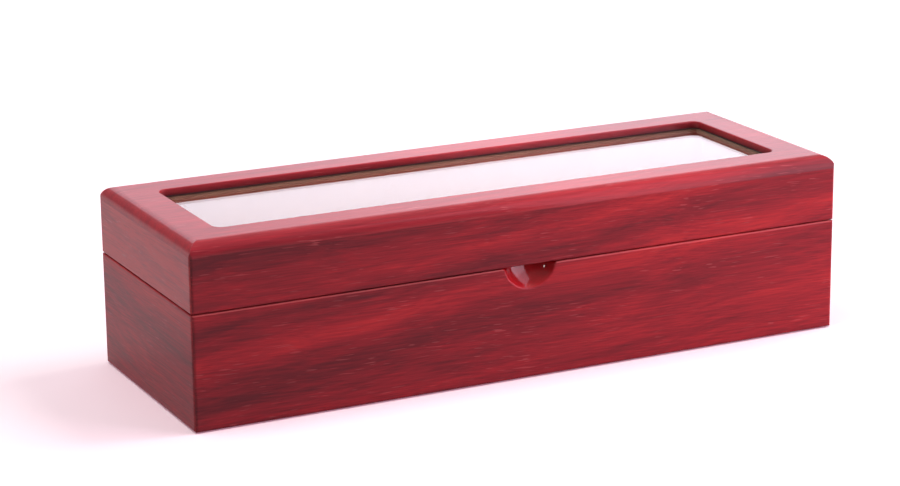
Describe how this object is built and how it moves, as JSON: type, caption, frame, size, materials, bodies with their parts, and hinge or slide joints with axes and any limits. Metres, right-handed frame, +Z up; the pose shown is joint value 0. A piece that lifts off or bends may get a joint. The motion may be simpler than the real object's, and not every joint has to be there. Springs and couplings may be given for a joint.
{
  "type": "pocket watch display box",
  "caption": "Hinged rosewood display box for pocket watches, with a glazed lid, a finger notch and a padded, divided tray.",
  "frame": {"origin": "centre of the wooden case's footprint, on the table plane under the felt", "axes": "+X to the right along the front with the finger notch, +Y to the hinged back, +Z up; the lid is shut at rest"},
  "size_m": [0.32, 0.1155, 0.083],
  "materials": {
    "lacquered_wood": "reddish rosewood figure under a clear high-gloss lacquer",
    "panel_wood": "plain plywood, unfinished",
    "lining_suede": "cream suedette over card, short matte nap",
    "cushion_suede": "cream suedette over foam, short matte nap",
    "underside_felt": "black pressed felt",
    "hinge_brass": "polished and lacquered brass",
    "window_glass": "clear float glass with ground edges",
    "buffer_rubber": "soft clear polyurethane, slightly cloudy"
  },
  "bodies": {
    "base": {"base_front_board": "lacquered_wood", "base_back_board": "lacquered_wood", "base_left_board": "lacquered_wood", "base_right_board": "lacquered_wood", "bottom_panel": "panel_wood", "underside_felt": "underside_felt", "tray_floor": "lining_suede", "tray_lining_front": "lining_suede", "tray_lining_back": "lining_suede", "tray_lining_left": "lining_suede", "tray_lining_right": "lining_suede", "divider_1": "lining_suede", "divider_2": "lining_suede", "divider_3": "lining_suede", "divider_4": "lining_suede", "watch_cushion_1": "cushion_suede", "watch_cushion_2": "cushion_suede", "watch_cushion_3": "cushion_suede", "watch_cushion_4": "cushion_suede", "watch_cushion_5": "cushion_suede", "base_hinge_leaf_left": "hinge_brass", "base_hinge_leaf_right": "hinge_brass", "hinge_pin_left": "hinge_brass", "hinge_pin_right": "hinge_brass", "base_hinge_screws": "hinge_brass"},
    "lid": {"lid_front_board": "lacquered_wood", "lid_back_board": "lacquered_wood", "lid_left_board": "lacquered_wood", "lid_right_board": "lacquered_wood", "lid_top_frame": "lacquered_wood", "glass_pane": "window_glass", "glass_bead_front": "lining_suede", "glass_bead_back": "lining_suede", "glass_bead_left": "lining_suede", "glass_bead_right": "lining_suede", "lid_lining_front": "lining_suede", "lid_lining_back": "lining_suede", "lid_lining_left": "lining_suede", "lid_lining_right": "lining_suede", "lid_hinge_leaf_left": "hinge_brass", "lid_hinge_leaf_right": "hinge_brass", "lid_hinge_screws": "hinge_brass", "lid_buffers": "buffer_rubber"}
  },
  "joints": [
    {"name": "lid_hinge", "type": "hinge", "parent": "base", "child": "lid", "pos_m": [0, 0.0564, 0.0522], "axis": [-1, 0, 0], "range_deg": [0, 95]}
  ]
}
